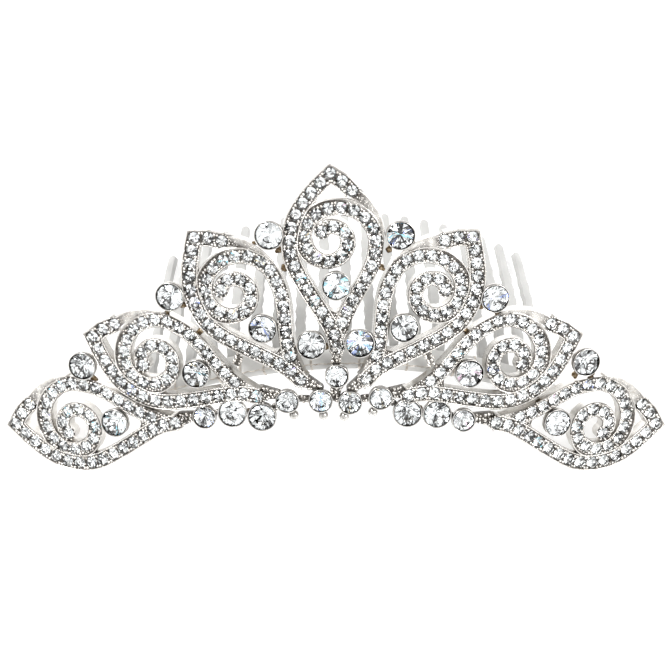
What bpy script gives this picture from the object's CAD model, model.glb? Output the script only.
import math
import random

import bmesh
import bpy
from mathutils import Matrix, Vector, noise


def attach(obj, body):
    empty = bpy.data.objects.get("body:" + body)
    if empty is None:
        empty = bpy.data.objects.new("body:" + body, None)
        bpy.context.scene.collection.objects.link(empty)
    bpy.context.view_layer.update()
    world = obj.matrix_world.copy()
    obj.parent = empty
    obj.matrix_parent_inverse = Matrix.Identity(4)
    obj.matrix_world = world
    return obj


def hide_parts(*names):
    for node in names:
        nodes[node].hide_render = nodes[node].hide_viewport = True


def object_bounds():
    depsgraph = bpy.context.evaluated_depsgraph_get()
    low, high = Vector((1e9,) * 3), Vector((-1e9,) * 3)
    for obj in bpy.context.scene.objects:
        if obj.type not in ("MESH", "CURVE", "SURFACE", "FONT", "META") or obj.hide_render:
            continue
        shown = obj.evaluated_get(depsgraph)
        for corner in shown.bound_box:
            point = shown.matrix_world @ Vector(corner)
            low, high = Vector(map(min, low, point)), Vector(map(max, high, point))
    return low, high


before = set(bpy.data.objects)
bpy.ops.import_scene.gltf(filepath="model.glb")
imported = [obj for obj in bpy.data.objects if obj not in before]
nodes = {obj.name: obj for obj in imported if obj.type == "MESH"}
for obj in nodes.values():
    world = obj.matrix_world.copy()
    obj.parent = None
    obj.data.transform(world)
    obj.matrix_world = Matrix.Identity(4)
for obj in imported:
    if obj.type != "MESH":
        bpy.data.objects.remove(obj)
cad_lo, cad_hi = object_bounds()
rng = random.Random(7)

# ---------------------------------------------------------------- design numbers
# The same design numbers as the CAD source, in millimetres. Only PAVE_R differs: it is 1.4 there,
# and smaller here so that a dark line shows round each stone.
MM = 0.001
BEND_R = 200.0
LEAN = 37.5
FACE_Y = -32.85
FACE_Z = 11.91
BAND_W = 3.5
LEAF_W = 3.9
BAND_TOP = 1.5
PAVE_R = 1.36
PAVE_PITCH = 3.05
LARGE_D = 6.8
SMALL_D = 5.6
CUP_BACK = -0.6
CUP_H = 3.2

PETALS = {
    "centre": ((-1.6, 54.5, 2), 0),
    "left_inner": ((-23.7, 41.5, 36), 0),
    "left_middle": ((-42.3, 24.2, 73), 0),
    "left_outer": ((-61.8, 6.7, 96), 0),
    "right_inner": ((-22.5, 41.7, 36), 1),
    "right_middle": ((-40.8, 24.4, 73), 1),
    "right_outer": ((-61.8, 6.7, 96), 1),
}
LEAF_OUTER = [(1.1, -26), (0.3, -21.8), (-2, -17.2), (-5.2, -11.5),
              (-8.1, -5.6), (-8.9, -0.5), (-7.6, 5.4), (-4, 10.7), (0.8, 15.4)]
LEAF_RETURN = [(0.8, 15.4), (3.4, 13.6), (5.6, 11.2)]
LEAF_TAIL = [(4.6, 11.8), (8.2, 9.1), (10.9, 5.1), (12.1, 0.5)]
TAIL_W = 2.7
FENCE_FROM = 15
FENCE_TO = 255
FENCE_OUT = 0.55
SCROLL_STEM = [(1.2, -24), (2.4, -19.4), (4.7, -14.7), (7.7, -9.9), (9.9, -5), (10.7, 0)]
SCROLL_R = [10.7, 7.3, 5.45, 4.9, 4.3, 3.1, 1.9]
SCROLL_END = 465
SCROLL_EYE = 485
PETAL_CUP = (1.3, -10.5)
FORK_SKIP = 4.6

# Places on the left, then on the right as mirrored
EDGE_AT = [[(-15, 55.7), (-37.8, 40.5), (-59.3, 22.2)],
           [(-14.4, 55.7), (-36.1, 40.2), (-58.4, 23.2)]]
GAP_AT = [[(-5.6, 30)], [(-5.4, 30.4)]]
BASE_LARGE_AT = [[(-23.7, 13.2), (-16.9, 12.5)], [(-23.1, 13), (-16.3, 13.5)]]
BASE_SMALL_AT = [[(-30.2, 11.9), (-11.1, 16.4), (-3.5, 16.6)],
                 [(-29.3, 11.2), (-10.1, 17.2), (-3.2, 16.2)]]
KEY_AT = (0.2, 22.6)
DROPS = [[((-9.7, 12.6), (-11.1, 16.4)), ((-2.9, 12.6), (-3.5, 16.6))],
         [((-8.5, 13.3), (-10.1, 17.2)), ((-1.9, 12.3), (-3.2, 16.2))]]
DROP_D = 2.3
DROP_Z = 0.3
BARS = [
    [((-21.7, 28.3), (-22.9, 24.4)), (BASE_SMALL_AT[0][1], BASE_SMALL_AT[0][2]),
     (BASE_LARGE_AT[0][1], BASE_SMALL_AT[0][1]), ((-17.2, 16.8), BASE_LARGE_AT[0][1]),
     (BASE_LARGE_AT[0][0], BASE_SMALL_AT[0][0])],
    [((-20.7, 28.5), (-21.9, 24.6)), (BASE_SMALL_AT[1][1], BASE_SMALL_AT[1][2]),
     (BASE_LARGE_AT[1][1], BASE_SMALL_AT[1][1]), ((-16, 17.4), BASE_LARGE_AT[1][1]),
     (BASE_LARGE_AT[1][0], BASE_SMALL_AT[1][0])],
]
ROOTS = [
    [((-7.8, 21.4), (-3.7, 19.1)), ((-17.2, 17.9), (-13.5, 17.5)), ((-36, 10.6), (-32.6, 11.5))],
    [((-6.7, 21.6), (-3.3, 19)), ((-15.8, 18.1), (-12.5, 18)), ((-36, 10.6), (-31.8, 11.1))],
]
KEY_STEM = ((0.1, 28.8), (0.1, 16.4))
KEY_FOOT = ((-1.4, 16.9), (1.2, 16.7))
SOLDER_AT = [
    [(-11.7, 47.7, 0.6), (-31, 32.3, 0.2), (-48, 15.3, 0.4), (-13, 52, 0.2), (-18.6, 53, 0.2),
     (-35, 38.2, 0.2), (-38.6, 36.9, 0.2), (-57.3, 18.8, 0.2), (-61.5, 18.8, 0.2),
     (-20.3, 12.8, -0.9), (-2.4, 28.7, -0.9), (-8.4, 28.3, -0.9)],
    [(-10.2, 48, 0.6), (-29.6, 32.5, 0.2), (-47, 15.5, 0.4), (-12, 52, 0.2), (-17.6, 53.2, 0.2),
     (-33.4, 38, 0.2), (-37.2, 36.7, 0.2), (-56.4, 19.8, 0.2), (-60.6, 19.8, 0.2),
     (-19.7, 13.2, -0.9), (-2.2, 29, -0.9), (-8.2, 28.7, -0.9)],
]
SOLDER_R = 0.95
COMB_X = 2.6
COMB_UP_FACE = 25.2
COMB_BEHIND = 4.35
COMB_DROP = 13.75
COMB_TURN = 0.7
COMB_ARCH_R = 85
COMB_TEETH = 19
COMB_PITCH = 5.5
SPINE_W = 5.5
SPINE_T = 2.2

# ---------------------------------------------------------------- visual detail numbers
# What only the visual model has: lengths in millimetres, FENCE_EASE in degrees, and counts.
# CLEAR and REACH are distances from a small stone's middle.
PLAIN = (1, 1, 1, 1)
FENCE_EASE = 45
LEDGE_ASIDE = -1.6
RIM_INSET = 0.15
RIM_R = 0.17
LEDGE_RIM_R = 0.19
RIM_Z = BAND_TOP + 0.03
RIM_STEP = 0.105
RIM_ENDS = 0.1
RIM_SHORTEST = 6
SCROLL_RIM = 1.5
TAIL_STEPS = 16
STONE_CLEAR = 1.5
POCKET_R = 1.47
PRONG_CLEAR = 1.32
PRONG_ASIDE = 1.16
PRONG_STEP = 0.34
FILL_STEP = 0.62
FILL_REACH = 3.2
FILL_GAP_SQUARED = 0.27
EYE_BEADS = 9
EYE_RING_R = 1.66
STRIP_GRAINS = 46
TARNISH_LINE = BAND_TOP - 0.28
CUP_SIDES = 40
CHATON_INSET = 0.42
LINK_GRIME = 0.75
SOLDER_GRIME = 0.6
SOLDER_LUMPS = 4
WIRE_R = 0.09
WIRE_GRIME = 0.2
WRAP_PITCH = 0.26
WRAP_TURNS = 2
LACING_R = 0.13
LACING_STEPS = 160

# The share of facets up to each tone, and the foil's darkest and brightest value there
FACET_TONES = [(0.8, 0.95, 1.0), (0.88, 0.45, 0.75), (1.0, 0.01, 0.1)]
FLASHES = [(0.5, 0.88, 1.0), (0.8, 0.72, 1.0), (1.0, 0.88, 0.6),
           (1.0, 0.76, 0.9), (0.5, 0.6, 1.0), (0.55, 0.9, 1.0)]

# ---------------------------------------------------------------- curves in a plane


def spline_at(a, b, c, d, t):
    return tuple(
        0.5 * (2 * q + (r - p) * t + (2 * p - 5 * q + 4 * r - s) * t * t
               + (3 * q - p - 3 * r + s) * t * t * t)
        for p, q, r, s in zip(a, b, c, d)
    )


def smooth_path(p, steps):
    out = []
    for i in range(len(p) - 1):
        before = p[max(i - 1, 0)]
        after = p[min(i + 2, len(p) - 1)]
        for j in range(steps):
            out.append(spline_at(before, p[i], p[i + 1], after, j / steps))
    return out + [tuple(p[-1])]


def spiral_at(angle):
    i = int(angle // 90)
    r = [(SCROLL_R[min(max(i + k, 0), len(SCROLL_R) - 1)],) for k in (-1, 0, 1, 2)]
    radius = spline_at(r[0], r[1], r[2], r[3], angle / 90 - i)[0]
    return (radius * math.cos(math.radians(angle)), radius * math.sin(math.radians(angle)))


def length_of(p):
    return sum(math.dist(p[i], p[i + 1]) for i in range(len(p) - 1))


def along(p, s):
    for i in range(len(p) - 1):
        step = math.dist(p[i], p[i + 1])
        if s <= step or i == len(p) - 2:
            t = s / step
            return (p[i][0] + (p[i + 1][0] - p[i][0]) * t, p[i][1] + (p[i + 1][1] - p[i][1]) * t)
        s -= step


def heading(p, s):
    a = along(p, max(s - 0.25, 0))
    b = along(p, min(s + 0.25, length_of(p)))
    d = Vector((b[0] - a[0], b[1] - a[1]))
    d.normalize()
    return d


def spaced(p, skip, pitch):
    total = length_of(p) - skip
    count = round(total / pitch)
    return [skip + total * k / count for k in range(count + 1)]


LEAF_PATH = smooth_path(LEAF_OUTER, 3)
RETURN_PATH = [tuple(q) for q in LEAF_RETURN]
TAIL_PATH = smooth_path(LEAF_TAIL, 4)
STEM_PATH = smooth_path(SCROLL_STEM, 3)
SCROLL_PATH = STEM_PATH + [spiral_at(a) for a in range(15, SCROLL_END + 1, 15)]
SCROLL_STONES = SCROLL_PATH + [spiral_at(SCROLL_EYE)]
FULL_LEAF = LEAF_PATH + RETURN_PATH[1:]


def ledge_at(angle):
    """A point just inside the outer edge of the scroll's ledge."""
    grow = min(1, (angle - FENCE_FROM) / FENCE_EASE, (FENCE_TO - angle) / FENCE_EASE)
    x, y = spiral_at(angle)
    r = math.hypot(x, y)
    stretch = (r + BAND_W / 2 + FENCE_OUT * grow - RIM_INSET) / r
    return (x * stretch, y * stretch)


def beside(path, s, lateral):
    """A point to the left of a path, or to the right if the distance is negative."""
    p, t = along(path, s), heading(path, s)
    return (p[0] - t.y * lateral, p[1] + t.x * lateral)


def mitred(path, lateral):
    """A path's parallel, with its corners kept sharp."""
    out = []
    for i, p in enumerate(path):
        before = Vector(path[max(i, 1)]) - Vector(path[max(i, 1) - 1])
        last = min(i, len(path) - 2)
        after = Vector(path[last + 1]) - Vector(path[last])
        a = Vector((-before.y, before.x)).normalized()
        b = Vector((-after.y, after.x)).normalized()
        middle = (a + b).normalized()
        stretch = lateral / middle.dot(a)
        out.append((p[0] + middle.x * stretch, p[1] + middle.y * stretch))
    return out


LEDGE_PATH = ([beside(STEM_PATH, s, LEDGE_ASIDE) for s in (9, 12, 15, 18)]
              + [ledge_at(a) for a in range(FENCE_FROM, FENCE_TO + 1, 8)])
TAIL_LENGTH = length_of(TAIL_PATH)
TAIL_EDGE = [beside(TAIL_PATH, TAIL_LENGTH * k / TAIL_STEPS,
                    TAIL_W / 2 * (1 - k / TAIL_STEPS / 2) - RIM_INSET)
             for k in range(TAIL_STEPS + 1)]

LEAF_S = spaced(LEAF_PATH, 0.6, PAVE_PITCH)
RETURN_S = spaced(RETURN_PATH, 0, PAVE_PITCH)[1:]
SCROLL_S = spaced(SCROLL_STONES, FORK_SKIP, PAVE_PITCH)
STONES = ([along(LEAF_PATH, s) for s in LEAF_S] + [along(RETURN_PATH, s) for s in RETURN_S]
          + [along(SCROLL_STONES, s) for s in SCROLL_S])

# ---------------------------------------------------------------- placing


def on_face(arc, height, tilt=0.0, side=0):
    m = (Matrix.Translation((0, FACE_Y, FACE_Z))
         @ Matrix.Rotation(math.radians(LEAN), 4, "X")
         @ Matrix.Translation((0, 0, -BEND_R))
         @ Matrix.Rotation(arc / BEND_R, 4, "Y")
         @ Matrix.Translation((0, height, BEND_R))
         @ Matrix.Rotation(math.radians(tilt), 4, "Z"))
    if side:
        m = Matrix.Scale(-1, 4, (1, 0, 0)) @ m
    return Matrix.Scale(MM, 4) @ m


def both_sides(places):
    return [on_face(p[0], p[1], 0, side) for side in (0, 1) for p in places[side]]


def petal_matrix(name):
    place, side = PETALS[name]
    return on_face(*place, side)


CUPS = {
    "petal": ([petal_matrix(n) @ Matrix.Translation((*PETAL_CUP, 0)) for n in PETALS], LARGE_D),
    "edge": (both_sides(EDGE_AT), LARGE_D),
    "gap": (both_sides(GAP_AT), LARGE_D),
    "base_large": (both_sides(BASE_LARGE_AT), LARGE_D),
    "base_small": (both_sides(BASE_SMALL_AT) + [on_face(*KEY_AT)], SMALL_D),
}
CUP_NODES = {
    "petal": ("petal_chaton_cups", "petal_chatons"),
    "edge": ("edge_chaton_cups", "edge_chatons"),
    "gap": ("gap_chaton_cups", "gap_chatons"),
    "base_large": ("base_cups_large", "base_chatons_large"),
    "base_small": ("base_cups_small", "base_chatons_small"),
}
CUP_CENTRES = [(m @ Vector((0, 0, 0)), d / 2 * MM) for ms, d in CUPS.values() for m in ms]

# ---------------------------------------------------------------- mesh building


class Shape:
    """Collects faces in world metres, with a tone for each face and a grime for each point."""

    def __init__(self):
        self.points = []
        self.grime = []
        self.faces = []
        self.mats = []
        self.tones = []
        self.soft = []

    def add(self, points, faces, matrix, grime=0.0, mats=None, tones=None, soft=True):
        base = len(self.points)
        flip = matrix.to_3x3().determinant() < 0
        self.points.extend((matrix @ Vector(p))[:] for p in points)
        self.grime.extend(grime if isinstance(grime, list) else [grime] * len(points))
        for i, f in enumerate(faces):
            loop = [base + k for k in f]
            self.faces.append(loop[::-1] if flip else loop)
            self.mats.append(mats[i] if mats else 0)
            self.tones.append(tones[i] if tones else PLAIN)
            self.soft.append(soft)

    def make(self, name, materials):
        mesh = bpy.data.meshes.new(name)
        mesh.from_pydata(self.points, [], self.faces)
        for m in materials:
            mesh.materials.append(m)
        mesh.polygons.foreach_set("material_index", self.mats)
        mesh.polygons.foreach_set("use_smooth", self.soft)
        tone = mesh.attributes.new("tone", "FLOAT_COLOR", "FACE")
        tone.data.foreach_set("color", [v for t in self.tones for v in t])
        grime = mesh.attributes.new("grime", "FLOAT", "POINT")
        grime.data.foreach_set("value", self.grime)
        mesh.update()
        return place(name, mesh)


def place(name, data):
    o = bpy.data.objects.new(name, data)
    bpy.context.scene.collection.objects.link(o)
    return o


def stand_in(obj, slot, *cad):
    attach(obj, "root")
    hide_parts(*cad)
    return obj


def detail(obj):
    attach(obj, "root")
    return obj


def lathe(profile, sides):
    """Points and faces of an open profile of (radius, height) turned about z."""
    points, faces = [], []
    n = len(profile)
    for i in range(sides):
        a = 2 * math.pi * i / sides
        points.extend((r * math.cos(a), r * math.sin(a), z) for r, z in profile)
    for i in range(sides):
        j = (i + 1) % sides
        for k in range(n - 1):
            faces.append((i * n + k, j * n + k, j * n + k + 1, i * n + k + 1))
    return points, faces


def dome(r, squash, sides, rings):
    """A small round bead, cut flat a little below its middle."""
    start = -0.35 * math.pi / 2
    angles = [start + (math.pi / 2 - start) * k / rings for k in range(rings)]
    points, faces = lathe([(r * math.cos(a), squash * r * math.sin(a)) for a in angles], sides)
    top = len(points)
    points.append((0, 0, squash * r))
    n = rings
    for i in range(sides):
        j = (i + 1) % sides
        faces.append((i * n + n - 1, j * n + n - 1, top))
    faces.append([i * n for i in range(sides)][::-1])
    return points, faces


def bead_grime(points, low, high):
    """Dark at the height low, and clean from the height high."""
    return [min(max((high - p[2]) / (high - low), 0), 1) for p in points]


def add_bead(shape, bead, matrix, low, high):
    points, faces = bead
    shape.add(points, faces, matrix, bead_grime(points, low, high))


def sweep(path, radii, sides, up=None):
    """A tube along 3-D points, with its own radius at each point and flat ends."""
    pts = [Vector(p) for p in path]
    points, faces = [], []
    side = None
    for i, p in enumerate(pts):
        t = (pts[min(i + 1, len(pts) - 1)] - pts[max(i - 1, 0)]).normalized()
        if up is not None:
            side = t.cross(up).normalized()
        elif side is None:
            side = t.orthogonal().normalized()
        else:
            side = (side - t * side.dot(t)).normalized()
        other = side.cross(t)
        for k in range(sides):
            a = 2 * math.pi * k / sides
            points.append(p + radii[i] * (math.cos(a) * side + math.sin(a) * other))
    for i in range(len(pts) - 1):
        for k in range(sides):
            m = (k + 1) % sides
            faces.append((i * sides + k, i * sides + m, (i + 1) * sides + m, (i + 1) * sides + k))
    faces.append(list(range(sides))[::-1])
    faces.append([(len(pts) - 1) * sides + k for k in range(sides)])
    return [tuple(p) for p in points], faces


# ---------------------------------------------------------------- cut stones


def ring(radius, z, angle):
    return (radius * math.cos(angle), radius * math.sin(angle), z)


def brilliant(r, z_low, z_high, r_table, z_table, z_culet):
    """A round cut stone: table, stars, kites and halves above the girdle, mains and halves below.

    z_low and z_high are the girdle's two edges.
    """
    turn = math.radians(45)
    half = turn / 2
    r_star = r_table + 0.46 * (r - r_table)
    z_star = z_table + (z_high - z_table) * (r_star * math.cos(half) - r_table) / (r - r_table)
    r_low = 0.24 * r
    z_lower = z_culet + (z_low - z_culet) * r_low * math.cos(half) / r
    points = [ring(r_table, z_table, turn * k) for k in range(8)]
    points += [ring(r_star, z_star, turn * k + half) for k in range(8)]
    points += [ring(r, z_high, half * k) for k in range(16)]
    points += [ring(r, z_low, half * k) for k in range(16)]
    points += [ring(r_low, z_lower, turn * k + half) for k in range(8)]
    points.append((0, 0, z_culet))
    crown, girdle, back = [tuple(range(8))], [], []
    for k in range(8):
        n = (k + 1) % 8
        crown.append((k, 8 + k, n))
        crown.append((k, 8 + (k - 1) % 8, 16 + 2 * k, 8 + k))
        crown.append((8 + k, 16 + 2 * k, 16 + 2 * k + 1))
        crown.append((8 + k, 16 + 2 * k + 1, 16 + (2 * k + 2) % 16))
        back.append((32 + 2 * k, 48 + (k - 1) % 8, 56, 48 + k))
        back.append((32 + 2 * k, 48 + k, 32 + 2 * k + 1))
        back.append((48 + k, 32 + (2 * k + 2) % 16, 32 + 2 * k + 1))
    for k in range(16):
        n = (k + 1) % 16
        girdle.append((32 + k, 32 + n, 16 + n, 16 + k))
    return points, crown, girdle, back


def simple_cut(r, z_low, z_high, r_table, z_table, z_culet):
    """A small cut stone with fewer, bolder facets."""
    turn = math.radians(45)
    points = [ring(r_table, z_table, turn * k) for k in range(8)]
    points += [ring(r, z_high, turn / 2 * k) for k in range(16)]
    points += [ring(r, z_low, turn / 2 * k) for k in range(16)]
    points.append((0, 0, z_culet))
    crown, girdle, back = [tuple(range(8))], [], []
    for k in range(8):
        n = (k + 1) % 8
        side = 8 + 2 * k
        crown.append((k, side, side + 1))
        crown.append((k, side + 1, n))
        crown.append((n, side + 1, 8 + (2 * k + 2) % 16))
    for k in range(16):
        n = (k + 1) % 16
        girdle.append((24 + k, 24 + n, 8 + n, 8 + k))
        back.append((24 + k, 40, 24 + n))
    return points, crown, girdle, back


def foil_tones(count, colourful):
    """How bright the foil looks behind each back facet, with a rare tinted flash."""
    tones = []
    for _ in range(count):
        pick = rng.random()
        low, high = next((low, high) for share, low, high in FACET_TONES if pick < share)
        v = rng.uniform(low, high)
        tint = (0.99, 1.0, 1.0)
        if rng.random() < colourful:
            tint = rng.choice(FLASHES)
            v = max(v, 0.8)
        tones.append((v * tint[0], v * tint[1], v * tint[2], 1))
    return tones


def add_stone(shape, matrix, cut, colourful):
    """One stone, tipped and turned a little by chance. Its back facets have the foil."""
    points, crown, girdle, back = cut
    faces = crown + girdle + back
    front = len(crown) + len(girdle)
    mats = [0] * front + [1] * len(back)
    tones = [PLAIN] * front + foil_tones(len(back), colourful)
    tip = Matrix.Rotation(rng.uniform(-0.05, 0.05), 4, "X") @ Matrix.Rotation(
        rng.uniform(-0.05, 0.05), 4, "Y")
    spin = Matrix.Rotation(rng.uniform(0, math.pi), 4, "Z")
    shape.add(points, faces, matrix @ tip @ spin, mats=mats, tones=tones, soft=False)


# ---------------------------------------------------------------- materials


def material(name, **sockets):
    """A new material, with plain values set on its shader. In a socket's name, _ is a space."""
    m = bpy.data.materials.new(name)
    m.use_nodes = True
    nt = m.node_tree
    bsdf = nt.nodes["Principled BSDF"]
    for key, value in sockets.items():
        bsdf.inputs[key.replace("_", " ")].default_value = value
    return m, nt, bsdf


def coords(nt):
    return nt.nodes.new("ShaderNodeTexCoord").outputs["Object"]


def noise_of(nt, scale, detail_level=3.0, roughness=0.55, where=None):
    n = nt.nodes.new("ShaderNodeTexNoise")
    n.inputs["Scale"].default_value = scale
    n.inputs["Detail"].default_value = detail_level
    n.inputs["Roughness"].default_value = roughness
    nt.links.new(where if where is not None else coords(nt), n.inputs["Vector"])
    return n.outputs["Fac"]


def ramp(nt, value, stops):
    n = nt.nodes.new("ShaderNodeValToRGB")
    while len(n.color_ramp.elements) < len(stops):
        n.color_ramp.elements.new(0.5)
    for e, (at, colour) in zip(n.color_ramp.elements, stops):
        e.position = at
        e.color = (*colour, 1) if isinstance(colour, tuple) else (colour, colour, colour, 1)
    nt.links.new(value, n.inputs["Fac"])
    return n.outputs["Color"]


def scaled(nt, value, low, high):
    n = nt.nodes.new("ShaderNodeMapRange")
    n.inputs["To Min"].default_value = low
    n.inputs["To Max"].default_value = high
    nt.links.new(value, n.inputs["Value"])
    return n.outputs["Result"]


def maths(nt, operation, a, b):
    n = nt.nodes.new("ShaderNodeMath")
    n.operation = operation
    n.use_clamp = True
    for k, v in enumerate((a, b)):
        if isinstance(v, (int, float)):
            n.inputs[k].default_value = v
        else:
            nt.links.new(v, n.inputs[k])
    return n.outputs["Value"]


def mixed(nt, fac, a, b):
    n = nt.nodes.new("ShaderNodeMix")
    n.data_type = "RGBA"
    for socket, v in ((n.inputs["Factor"], fac), (n.inputs[6], a), (n.inputs[7], b)):
        if isinstance(v, (tuple, float, int)):
            socket.default_value = (*v, 1) if isinstance(v, tuple) else v
        else:
            nt.links.new(v, socket)
    return n.outputs[2]


def bumped(nt, bsdf, height, strength, distance):
    n = nt.nodes.new("ShaderNodeBump")
    n.inputs["Strength"].default_value = strength
    n.inputs["Distance"].default_value = distance
    nt.links.new(height, n.inputs["Height"])
    nt.links.new(n.outputs["Normal"], bsdf.inputs["Normal"])


def attribute(nt, name, output):
    n = nt.nodes.new("ShaderNodeAttribute")
    n.attribute_name = name
    return n.outputs[output]


def silver(name, bright, dull, grime_colour, rough, pitting):
    """Bright plate with cloudy wear, and brown-black tarnish wherever grime is set."""
    m, nt, b = material(name, Metallic=1.0)
    cloud = noise_of(nt, 420, 4)
    fine = noise_of(nt, 3800, 3)
    plate = ramp(nt, cloud, [(0.3, dull), (0.6, bright)])
    edge = maths(nt, "ADD", attribute(nt, "grime", "Fac"), scaled(nt, fine, -0.4, 0.4))
    grime = ramp(nt, edge, [(0.3, 0.0), (0.85, 1.0)])
    colour = mixed(nt, grime, plate, grime_colour)
    nt.links.new(colour, b.inputs["Base Color"])
    polish = scaled(nt, cloud, rough - 0.06, rough + 0.08)
    nt.links.new(mixed(nt, grime, polish, (0.52, 0.52, 0.52)), b.inputs["Roughness"])
    bumped(nt, b, fine, pitting, 0.00006)
    return m


casting_metal = silver("cast_silver", bright=(0.68, 0.66, 0.63), dull=(0.46, 0.44, 0.41),
                       grime_colour=(0.024, 0.017, 0.011), rough=0.2, pitting=0.4)
bead_metal = silver("bead_silver", bright=(0.76, 0.74, 0.71), dull=(0.5, 0.475, 0.44),
                    grime_colour=(0.024, 0.017, 0.011), rough=0.16, pitting=0.16)
cup_metal = silver("cup_silver", bright=(0.66, 0.645, 0.62), dull=(0.46, 0.445, 0.42),
                   grime_colour=(0.024, 0.019, 0.014), rough=0.12, pitting=0.1)


def crystal(name):
    """Clear cut glass with a faintly uneven polish."""
    m, nt, b = material(name, Base_Color=PLAIN, Transmission_Weight=1.0, IOR=1.56)
    wear = noise_of(nt, 900, 2)
    nt.links.new(scaled(nt, wear, 0.0, 0.035), b.inputs["Roughness"])
    return m


def foil(name):
    """The mirrored back of a stone: each facet has its own tone, with fine cloudy silvering."""
    m, nt, b = material(name, Metallic=1.0, Roughness=0.04)
    cloud = ramp(nt, noise_of(nt, 1300, 3), [(0.25, (0.9, 0.91, 0.92)), (0.7, (1.0, 1.0, 1.0))])
    mix = nt.nodes.new("ShaderNodeMix")
    mix.data_type = "RGBA"
    mix.blend_type = "MULTIPLY"
    mix.inputs["Factor"].default_value = 1.0
    nt.links.new(attribute(nt, "tone", "Color"), mix.inputs[6])
    nt.links.new(cloud, mix.inputs[7])
    nt.links.new(mix.outputs[2], b.inputs["Base Color"])
    return m


small_glass = crystal("small_cut_glass")
large_glass = crystal("large_cut_glass")
stone_foil = foil("foil_back")


def make_solder():
    """Dull brown-grey metal, bright only in patches."""
    m, nt, b = material("solder_metal", Metallic=0.9)
    patch = noise_of(nt, 1500, 5, 0.65)
    fine = noise_of(nt, 5200, 3)
    colour = ramp(nt, patch, [(0.3, (0.035, 0.024, 0.014)), (0.5, (0.16, 0.11, 0.06)),
                              (0.62, (0.42, 0.34, 0.23)), (0.78, (0.8, 0.75, 0.65))])
    nt.links.new(colour, b.inputs["Base Color"])
    nt.links.new(scaled(nt, fine, 0.25, 0.55), b.inputs["Roughness"])
    bumped(nt, b, patch, 0.5, 0.00015)
    return m


def make_comb(name, dark, light):
    """Satin moulded plastic, slightly clouded."""
    m, nt, b = material(name, Coat_Weight=0.25, Coat_Roughness=0.22, Specular_IOR_Level=0.6)
    cloud = noise_of(nt, 160, 4)
    fine = noise_of(nt, 2600, 4, 0.6)
    colour = ramp(nt, cloud, [(0.3, dark), (0.7, light)])
    nt.links.new(colour, b.inputs["Base Color"])
    nt.links.new(scaled(nt, fine, 0.3, 0.46), b.inputs["Roughness"])
    bumped(nt, b, fine, 0.22, 0.00008)
    return m


def make_wire():
    """Fine drawn wire with warm dull patches."""
    m, nt, b = material("wire_metal", Metallic=1.0)
    cloud = noise_of(nt, 1200, 4)
    colour = ramp(nt, cloud, [(0.3, (0.3, 0.25, 0.2)), (0.65, (0.72, 0.68, 0.62))])
    nt.links.new(colour, b.inputs["Base Color"])
    nt.links.new(scaled(nt, cloud, 0.36, 0.22), b.inputs["Roughness"])
    bumped(nt, b, noise_of(nt, 4200, 2), 0.2, 0.00005)
    return m


solder_metal = make_solder()
comb_satin = make_comb("comb_satin", dark=(0.56, 0.556, 0.54), light=(0.64, 0.636, 0.618))
tooth_satin = make_comb("tooth_satin", dark=(0.36, 0.358, 0.348), light=(0.43, 0.427, 0.415))
wire_metal = make_wire()

# ---------------------------------------------------------------- rounded copies of CAD solids


def rounded(name, cad, surface, bevel=None, grime_at=None, cut=None):
    """A copy of a CAD solid, with its curved walls shaded smooth.

    bevel is (width in metres, segments, degrees), and rounds the edges sharper than that.
    grime_at gives the tarnish at a point. cut is a plane that adds a line of points.
    """
    mesh = nodes[cad].data.copy()
    mesh.name = name
    mesh.materials.clear()
    mesh.materials.append(surface)
    bm = bmesh.new()
    bm.from_mesh(mesh)
    bmesh.ops.remove_doubles(bm, verts=bm.verts, dist=2e-6)
    bmesh.ops.dissolve_limit(bm, angle_limit=math.radians(0.6), verts=bm.verts, edges=bm.edges)
    if cut:
        bmesh.ops.bisect_plane(bm, geom=list(bm.verts) + list(bm.edges) + list(bm.faces),
                               dist=1e-7, plane_co=cut[0], plane_no=cut[1])
    if bevel:
        width, segments, limit = bevel
        sharp = [e for e in bm.edges if len(e.link_faces) == 2
                 and e.calc_face_angle(0) > math.radians(limit)]
        bmesh.ops.bevel(bm, geom=sharp, offset=width, offset_type="OFFSET", segments=segments,
                        profile=0.5, affect="EDGES", clamp_overlap=True)
    for f in bm.faces:
        f.smooth = True
        f.material_index = 0
    for e in bm.edges:
        e.smooth = len(e.link_faces) == 2 and e.calc_face_angle(0) < math.radians(34)
    bm.to_mesh(mesh)
    bm.free()
    if "custom_normal" in mesh.attributes:
        mesh.attributes.remove(mesh.attributes["custom_normal"])
    grime = mesh.attributes.new("grime", "FLOAT", "POINT")
    if grime_at:
        grime.data.foreach_set("value", [grime_at(v.co) for v in mesh.vertices])
    return place(name, mesh)


# ---------------------------------------------------------------- petals


def near_stone(x, y, clearance):
    return any((x - s[0]) ** 2 + (y - s[1]) ** 2 < clearance * clearance for s in STONES)


def in_cup(world, margin):
    return any((world - c).length < r + margin * MM for c, r in CUP_CENTRES)


def edge_runs(path, lateral, matrix):
    """Runs of points along one edge of a band, broken where a stone or a cup is in the way."""
    runs, run = [], []
    start, end = RIM_ENDS, length_of(path) - RIM_ENDS
    count = max(2, round((end - start) / RIM_STEP))
    for k in range(count + 1):
        x, y = beside(path, start + (end - start) * k / count, lateral)
        if near_stone(x, y, STONE_CLEAR) or in_cup(matrix @ Vector((x, y, RIM_Z)), 0.05):
            runs.append(run)
            run = []
        else:
            run.append((x, y, RIM_Z))
    return [r for r in runs + [run] if len(r) > RIM_SHORTEST]


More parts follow.
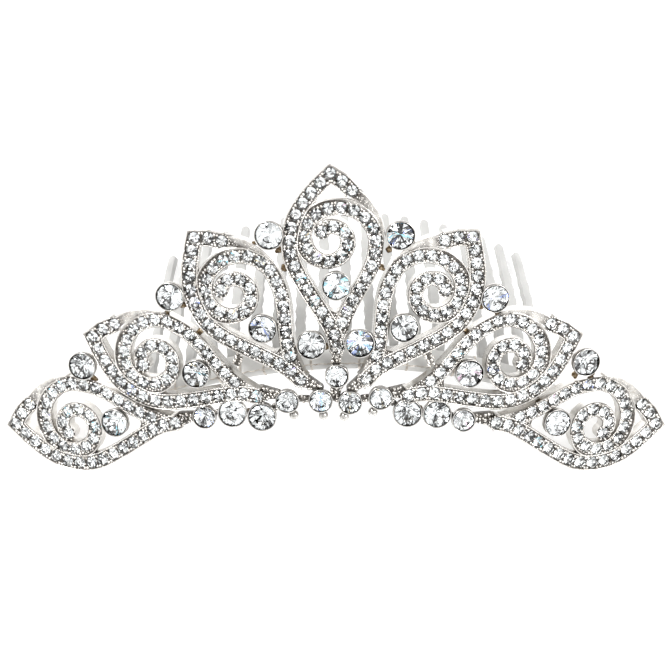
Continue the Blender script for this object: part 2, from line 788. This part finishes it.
def add_rim(shape, path, lateral, matrix, grain=0.0, radius=RIM_R):
    """A raised rim along an edge, beaded by the share grain and thinner at its ends."""
    for run in edge_runs(path, lateral, matrix):
        radii = []
        for k in range(len(run)):
            ends = min(k, len(run) - 1 - k, 3) / 3
            wave = 1 + grain * math.cos(2 * math.pi * k / 4)
            radii.append(radius * wave * (0.45 + 0.55 * ends))
        points, faces = sweep(run, radii, 6, Vector((0, 0, 1)))
        shape.add(points, faces, matrix, bead_grime(points, RIM_Z - 0.22, RIM_Z - 0.04))


prong_bead = dome(0.35, squash=0.95, sides=10, rings=4)
tiny_bead = dome(0.2, squash=0.9, sides=8, rings=3)


def add_prongs(shape, path, stations, matrix, taken):
    """Four beads between each pair of neighbouring stones, two along each edge."""
    for a, b in zip(stations, stations[1:]):
        middle = (a + b) / 2
        for step in (-PRONG_STEP, PRONG_STEP):
            for side in (-1, 1):
                x, y = beside(path, middle + step, side * PRONG_ASIDE)
                at = Matrix.Translation((x, y, BAND_TOP + 0.06 + rng.uniform(-0.04, 0.04)))
                on_top = matrix @ Vector((x, y, BAND_TOP))
                if near_stone(x, y, PRONG_CLEAR) or in_cup(on_top, -0.1):
                    continue
                size = Matrix.Scale(rng.uniform(0.85, 1.12), 4)
                taken.append((x, y))
                add_bead(shape, prong_bead, matrix @ at @ size, -0.15, 0.14)


def on_a_band(x, y, inset):
    """True where a band's face lies under this point."""
    here = Vector((x, y))
    for path, width in ((FULL_LEAF, LEAF_W), (SCROLL_PATH, BAND_W)):
        for a, b in zip(path, path[1:]):
            p, q = Vector(a), Vector(b)
            t = max(0.0, min(1.0, (here - p).dot(q - p) / (q - p).length_squared))
            if (here - p - (q - p) * t).length < width / 2 - inset:
                return True
    in_fork = -19.5 < y < -16.9 and -0.9 < x < 2.7
    in_tip = -0.5 < x < 2.3 and 16 < y < 17.8 - abs(x - 0.9)
    if in_fork or in_tip:
        return True
    return (here - Vector(SCROLL_STONES[-1])).length < BAND_W / 2 - inset


def fill_spots():
    """Places on the bands' faces that no stone covers, on a jittered triangular grid."""
    out = []
    for i in range(-32, 33):
        for j in range(-44, 24):
            x = FILL_STEP * (i + 0.5 * (j % 2)) + rng.uniform(-0.1, 0.1)
            y = FILL_STEP * j + rng.uniform(-0.1, 0.1)
            beside_stone = not near_stone(x, y, POCKET_R) and near_stone(x, y, FILL_REACH)
            if beside_stone and on_a_band(x, y, 0.1):
                out.append((x, y))
    return out


def add_fill(shape, matrix, taken):
    """Small grains on whatever face is left between the stones and the prongs."""
    for x, y in FILL:
        if any((x - p) ** 2 + (y - q) ** 2 < FILL_GAP_SQUARED for p, q in taken):
            continue
        if in_cup(matrix @ Vector((x, y, BAND_TOP)), 0.15):
            continue
        at = Matrix.Translation((x, y, BAND_TOP)) @ Matrix.Scale(rng.uniform(0.9, 1.35), 4)
        add_bead(shape, tiny_bead, matrix @ at, -0.1, 0.12)


def add_eye_ring(shape, matrix, taken):
    """Beads round the last stone of the scroll."""
    cx, cy = SCROLL_STONES[-1]
    for k in range(EYE_BEADS):
        a = 2 * math.pi * k / EYE_BEADS
        x, y = cx + EYE_RING_R * math.cos(a), cy + EYE_RING_R * math.sin(a)
        if near_stone(x, y, STONE_CLEAR):
            continue
        taken.append((x, y))
        at = Matrix.Translation((x, y, BAND_TOP - 0.04)) @ Matrix.Scale(0.86, 4)
        add_bead(shape, prong_bead, matrix @ at, -0.15, 0.14)


def add_strip_grains(shape, matrix):
    """Fine grains scattered along the plain strip, drawing in as the strip narrows."""
    for _ in range(STRIP_GRAINS):
        s = rng.uniform(0.2, TAIL_LENGTH - 0.4)
        x, y = beside(TAIL_PATH, s, rng.uniform(-0.95, 0.8) * (1 - s / TAIL_LENGTH / 2))
        if near_stone(x, y, STONE_CLEAR):
            continue
        at = Matrix.Translation((x, y, BAND_TOP - 0.06)) @ Matrix.Scale(rng.uniform(0.6, 1), 4)
        add_bead(shape, tiny_bead, matrix @ at, -0.05, 0.1)


FILL = fill_spots()
pave_cut = simple_cut(PAVE_R, z_low=-0.12, z_high=0.02, r_table=0.8, z_table=0.5, z_culet=-1.03)

for name in PETALS:
    m = petal_matrix(name)
    back = m.inverted()

    def petal_grime(co, back=back):
        """Darkest in the stones' pockets, dark between the settings, light on open metal."""
        p = back @ co
        if p.z > BAND_TOP - 0.1:
            on_strip = p.x > 4 and p.y > 0 and math.hypot(p.x, p.y) > 9.6
            return 0.76 if near_stone(p.x, p.y, 2.05 if on_strip else 2.5) else 0.2
        if near_stone(p.x, p.y, POCKET_R) and p.z > BAND_TOP - 1.2:
            return 1.0
        return 0.12 + 0.2 * max(0.0, min(1.0, -p.z / 1.5))

    line = (m @ Vector((0, 0, TARNISH_LINE)), m.to_3x3() @ Vector((0, 0, 1)))
    casting = rounded("casting_" + name, "petal_frame_" + name, casting_metal,
                      grime_at=petal_grime, cut=line)
    stand_in(casting, "silver_casting", "petal_frame_" + name)

    setting = Shape()
    taken = []
    add_rim(setting, mitred(FULL_LEAF, LEAF_W / 2 - 0.18), 0, m)
    add_rim(setting, mitred(FULL_LEAF, 0.2 - LEAF_W / 2), 0, m, grain=0.26)
    add_rim(setting, SCROLL_PATH, SCROLL_RIM, m, grain=0.26)
    add_rim(setting, SCROLL_PATH[len(STEM_PATH) + 16:], -SCROLL_RIM, m)
    add_rim(setting, LEDGE_PATH, 0, m, radius=LEDGE_RIM_R)
    add_rim(setting, TAIL_EDGE, 0, m)
    add_strip_grains(setting, m)
    add_prongs(setting, LEAF_PATH, LEAF_S, m, taken)
    add_prongs(setting, RETURN_PATH, [0] + RETURN_S, m, taken)
    add_prongs(setting, SCROLL_STONES, SCROLL_S, m, taken)
    add_eye_ring(setting, m, taken)
    add_fill(setting, m, taken)
    detail(setting.make("settings_" + name, [bead_metal]))

    stones = Shape()
    for x, y in STONES:
        add_stone(stones, m @ Matrix.Translation((x, y, BAND_TOP)), pave_cut, 0.006)
    stand_in(stones.make("crystals_" + name, [small_glass, stone_foil]), "small_crystal",
             "pave_" + name)

# ---------------------------------------------------------------- chatons in their cups


def cup_profile(d):
    """From the middle of the back, up the outside to the rim, and down the inside."""
    r = d / 2
    inner = r - 0.28
    top = CUP_BACK + CUP_H
    return [(0.0, CUP_BACK), (r - 1.5, CUP_BACK), (r - 1.2, CUP_BACK + 0.1),
            (r - 0.5, CUP_BACK + 0.9), (r - 0.12, CUP_BACK + 1.5), (r - 0.05, CUP_BACK + 1.62),
            (r - 0.12, CUP_BACK + 1.74), (r - 0.1, top - 0.5), (r, top - 0.3), (r, top - 0.1),
            (r - 0.07, top - 0.02), (r - 0.16, top), (inner, top - 0.06),
            (inner - 0.02, top - 0.25), (inner + 0.02, top - 0.55), (inner - 0.5, 1.45),
            (0.5, CUP_BACK + 0.03), (0.0, CUP_BACK + 0.02)]


def cup_grime(points, d):
    """Dark inside, under the rim and along the bead line."""
    r = d / 2
    out = []
    for x, y, z in points:
        rad = math.hypot(x, y)
        if rad < r - 0.22 and z > CUP_BACK + 0.3:
            out.append(1.0)
        elif z > 2.42:
            out.append(0.75 if rad > r - 0.02 else 0.0)
        elif z > 2.0:
            out.append(1.0)
        else:
            out.append(0.5 if 0.9 < z < 1.08 else 0.15)
    return out


def chaton_cut(d):
    """A chaton a little smaller than its cup, so that a dark line shows round it."""
    r = d / 2 - CHATON_INSET
    return brilliant(r, z_low=2.2, z_high=2.34, r_table=r * 0.55, z_table=3.32, z_culet=-0.4)


for group, (matrices, d) in CUPS.items():
    cups, gems = Shape(), Shape()
    points, faces = lathe(cup_profile(d), CUP_SIDES)
    for m in matrices:
        cups.add(points, faces, m, cup_grime(points, d))
        add_stone(gems, m, chaton_cut(d), 0.03)
    cup_node, gem_node = CUP_NODES[group]
    stand_in(cups.make("cups_" + group, [cup_metal]), "silver_cup", cup_node)
    stand_in(gems.make("chatons_" + group, [large_glass, stone_foil]), "large_crystal", gem_node)

# ---------------------------------------------------------------- drops, connectors, solder

drops = Shape()
for side in (0, 1):
    for ball, cup_centre in DROPS[side]:
        away = Vector(cup_centre) - Vector(ball)
        base = on_face(ball[0], ball[1], math.degrees(math.atan2(away.y, away.x)) - 90, side)
        turn = base @ Matrix.Translation((0, 0, DROP_Z)) @ Matrix.Rotation(-math.pi / 2, 4, "X")
        r = DROP_D / 2
        reach = away.length - SMALL_D / 2 + 0.1
        profile = [(0.0, -r)]
        profile += [(r * math.sin(math.radians(a)), -r * math.cos(math.radians(a)))
                    for a in range(18, 156, 12)]
        profile += [(0.5, r * 0.93), (0.62, r + 0.04), (0.6, r + 0.16), (0.44, r + 0.22),
                    (0.42, max(reach, r + 0.25)), (0.0, max(reach, r + 0.25) + 0.02)]
        points, faces = lathe(profile, 24)
        grime = [0.85 if 0.86 * r < p[2] < r + 0.1 or p[2] > r + 0.2 else 0.4 for p in points]
        drops.add(points, faces, turn, grime)
stand_in(drops.make("ball_drops", [cup_metal]), "silver_cup", "drop_beads")

link_bead = dome(0.42, squash=0.95, sides=10, rings=4)


def add_grains(shape, a, b, side, wide, narrow, height, pitch, rows):
    """Rows of small beads on the front of a link, which narrows from one end to the other."""
    run = Vector((b[0] - a[0], b[1] - a[1]))
    span = run.length
    m = on_face(a[0], a[1], math.degrees(math.atan2(run.y, run.x)), side)
    count = max(1, round(span / pitch))
    for k in range(count + 1):
        half = (wide + (narrow - wide) * k / count) / 2 - 0.25
        for row in range(rows):
            across = 0.0 if rows == 1 else half * (2 * row / (rows - 1) - 1)
            x = span * k / count + (0.28 if row % 2 else -0.1) + rng.uniform(-0.22, 0.22)
            spot = Vector((x, across + rng.uniform(-0.2, 0.2), height + rng.uniform(-0.16, 0.08)))
            if in_cup(m @ Vector((spot.x, spot.y, 0)), 0.12):
                continue
            at = Matrix.Translation(spot) @ Matrix.Scale(rng.uniform(0.65, 1.3), 4)
            add_bead(shape, link_bead, m @ at, -0.2, 0.24)


def link_grime(co):
    """The same tarnish all over."""
    return LINK_GRIME


roots = rounded("cast_ends", "petal_roots", bead_metal, (0.00018, 2, 40), link_grime)
stand_in(roots, "silver_casting", "petal_roots")
struts = rounded("connectors", "bridge_struts", bead_metal, grime_at=link_grime)
stand_in(struts, "silver_casting", "bridge_struts")
grains = Shape()
for side in (0, 1):
    for a, b in ROOTS[side]:
        add_grains(grains, a, b, side, wide=3.0, narrow=1.8, height=1.1, pitch=0.82, rows=3)
    for a, b in BARS[side]:
        add_grains(grains, a, b, side, wide=1.7, narrow=1.7, height=0.62, pitch=0.74, rows=2)
add_grains(grains, *KEY_STEM, 0, wide=2.3, narrow=2.3, height=0.95, pitch=0.78, rows=3)
add_grains(grains, *KEY_FOOT, 0, wide=1.8, narrow=1.8, height=0.7, pitch=0.7, rows=2)
detail(grains.make("link_grains", [bead_metal]))

# Each solder spot is one large lump and a few small ones that overlap it.
solder = Shape()
for side in (0, 1):
    for arc, height, z in SOLDER_AT[side]:
        m = on_face(arc, height, 0, side) @ Matrix.Translation((0, 0, z))
        for k in range(SOLDER_LUMPS):
            r = SOLDER_R * (0.78 if k == 0 else rng.uniform(0.35, 0.6))
            shift = Vector((0, 0, 0)) if k == 0 else Vector(
                (rng.uniform(-0.6, 0.6), rng.uniform(-0.6, 0.6), rng.uniform(-0.2, 0.3)))
            bm = bmesh.new()
            bmesh.ops.create_icosphere(bm, subdivisions=3, radius=r)
            seed = Vector((arc, height, z + 7 * side + 3 * k))
            for v in bm.verts:
                lump = noise.noise(v.co * 1.9 + seed) * 0.3 + noise.noise(v.co * 6 + seed) * 0.14
                v.co *= 1 + lump
            points = [(v.co + shift)[:] for v in bm.verts]
            faces = [[v.index for v in f.verts] for f in bm.faces]
            bm.free()
            solder.add(points, faces, m, SOLDER_GRIME)
stand_in(solder.make("solder_spots", [solder_metal]), "solder", "solder_joints")

# ---------------------------------------------------------------- comb and its wire

spine = rounded("comb_back", "comb_spine", comb_satin, (0.00045, 3, 40))
stand_in(spine, "comb", "comb_spine")
teeth = rounded("comb_prongs", "comb_teeth", tooth_satin, (0.00022, 2, 50))
stand_in(teeth, "comb", "comb_teeth")

at_comb = (on_face(0, COMB_UP_FACE) @ Matrix.Translation((COMB_X, 0, -COMB_BEHIND))
           @ Matrix.Rotation(math.radians(-LEAN - COMB_DROP), 4, "X")
           @ Matrix.Rotation(math.radians(COMB_TURN), 4, "Z"))


def along_comb(angle):
    return (Matrix.Translation((0, 0, -COMB_ARCH_R)) @ Matrix.Rotation(angle, 4, "Y")
            @ Matrix.Translation((0, 0, COMB_ARCH_R)))


def wrap_path():
    """A wire that goes round the spine, stepping along it as it goes."""
    w, t, corner = SPINE_W / 2 + WIRE_R, SPINE_T / 2 + WIRE_R, 0.55
    turn = []
    for cx, cz, start in ((w - corner, t - corner, 0), (-(w - corner), t - corner, 90),
                          (-(w - corner), -(t - corner), 180), (w - corner, -(t - corner), 270)):
        for k in range(5):
            a = math.radians(start + 22.5 * k)
            turn.append((cx + corner * math.cos(a), cz + corner * math.sin(a)))
    out = []
    for k in range(WRAP_TURNS * len(turn) + 1):
        y, z = turn[k % len(turn)]
        out.append((WRAP_PITCH * k / len(turn) - WRAP_PITCH * WRAP_TURNS / 2, y, z))
    return out


def lacing_path(step):
    """A scalloped line of wire along the spine's lower front edge."""
    out = []
    for k in range(-LACING_STEPS, LACING_STEPS + 1):
        m = along_comb(k / LACING_STEPS * (COMB_TEETH / 2 - 0.7) * step)
        y = -SPINE_W / 2 + 0.02 + 0.3 * abs(math.sin(k * math.pi / 8))
        z = SPINE_T / 2 - 0.02 + 0.06 * math.cos(k * math.pi / 4)
        out.append((m @ Vector((0, y, z)))[:])
    return out


wire = Shape()
step = COMB_PITCH / COMB_ARCH_R
path = lacing_path(step)
points, faces = sweep(path, [LACING_R] * len(path), 6, Vector((0, 0, 1)))
wire.add(points, faces, at_comb, WIRE_GRIME)
path = wrap_path()
points, faces = sweep(path, [WIRE_R] * len(path), 8)
for k in range(COMB_TEETH - 1):
    m = at_comb @ along_comb((k - (COMB_TEETH - 2) / 2) * step)
    wire.add(points, faces, m, WIRE_GRIME)
stand_in(wire.make("wire_wraps", [wire_metal]), "wire", "binding_wire")

# ---------------------------------------------------------------- camera

# The camera looks down from the front, at 69.5 degrees to the floor, as the photo does.
VIEW_TARGET = Vector((-0.00023, -0.00762, 0.03127))
VIEW_LOOK = Vector((0, 0.3502, -0.9367))
VIEW_DISTANCE = 0.52

camera = bpy.data.cameras.new("camera")
camera.sensor_width = 36
camera.lens = 122.2
camera.clip_start = 0.01
camera.clip_end = 20
viewer = place("camera", camera)
viewer.location = VIEW_TARGET - VIEW_LOOK * VIEW_DISTANCE
viewer.rotation_euler = VIEW_LOOK.to_track_quat("-Z", "Y").to_euler()
bpy.context.scene.camera = viewer

# ---------------------------------------------------------------- floor, world and lights


FLOOR_HALF = 6.0
FLOOR_GAP = 0.0004


def make_floor():
    """A plain near-white floor, which glows a little so that the background is white."""
    mesh = bpy.data.meshes.new("floor")
    s = FLOOR_HALF
    mesh.from_pydata([(-s, -s, 0), (s, -s, 0), (s, s, 0), (-s, s, 0)], [], [(0, 1, 2, 3)])
    m, nt, b = material("floor_white", Roughness=0.9, Specular_IOR_Level=0.1,
                        Emission_Color=PLAIN, Emission_Strength=0.32)
    grain = noise_of(nt, 300, 2)
    nt.links.new(ramp(nt, grain, [(0.2, (0.9, 0.9, 0.9)), (0.8, (0.93, 0.93, 0.93))]),
                 b.inputs["Base Color"])
    mesh.materials.append(m)
    o = place("floor", mesh)
    o.location.z = cad_lo.z - FLOOR_GAP


def make_world():
    """A white tent with soft dark and bright panels high up, for facets and metal to mirror."""
    w = bpy.data.worlds.new("tent")
    w.use_nodes = True
    nt = w.node_tree
    bg = nt.nodes["Background"]
    where = nt.nodes.new("ShaderNodeTexCoord").outputs["Generated"]
    split = nt.nodes.new("ShaderNodeSeparateXYZ")
    nt.links.new(where, split.inputs["Vector"])
    panels = noise_of(nt, 1.9, 1.0, 0.4, where)
    tones = ramp(nt, panels, [(0.38, 0.0), (0.42, 0.9), (0.54, 1.25), (0.62, 1.7)])
    high = ramp(nt, split.outputs["Z"], [(0.2, 0.0), (0.34, 1.0)])
    colour = mixed(nt, high, (1.0, 1.0, 1.0), tones)
    nt.links.new(colour, bg.inputs["Color"])
    bg.inputs["Strength"].default_value = 1.05
    bpy.context.scene.world = w


def area_light(name, at, size, power):
    data = bpy.data.lights.new(name, "AREA")
    data.shape = "DISK"
    data.size = size
    data.energy = power
    o = place(name, data)
    o.location = at
    o.rotation_euler = (VIEW_TARGET - Vector(at)).to_track_quat("-Z", "Y").to_euler()


make_floor()
make_world()
area_light("key", at=(-0.55, 0.35, 0.95), size=0.45, power=9)
area_light("fill", at=(0.7, -0.2, 0.8), size=0.5, power=6)
bpy.context.scene.view_settings.view_transform = "Standard"
bpy.context.scene.view_settings.look = "None"
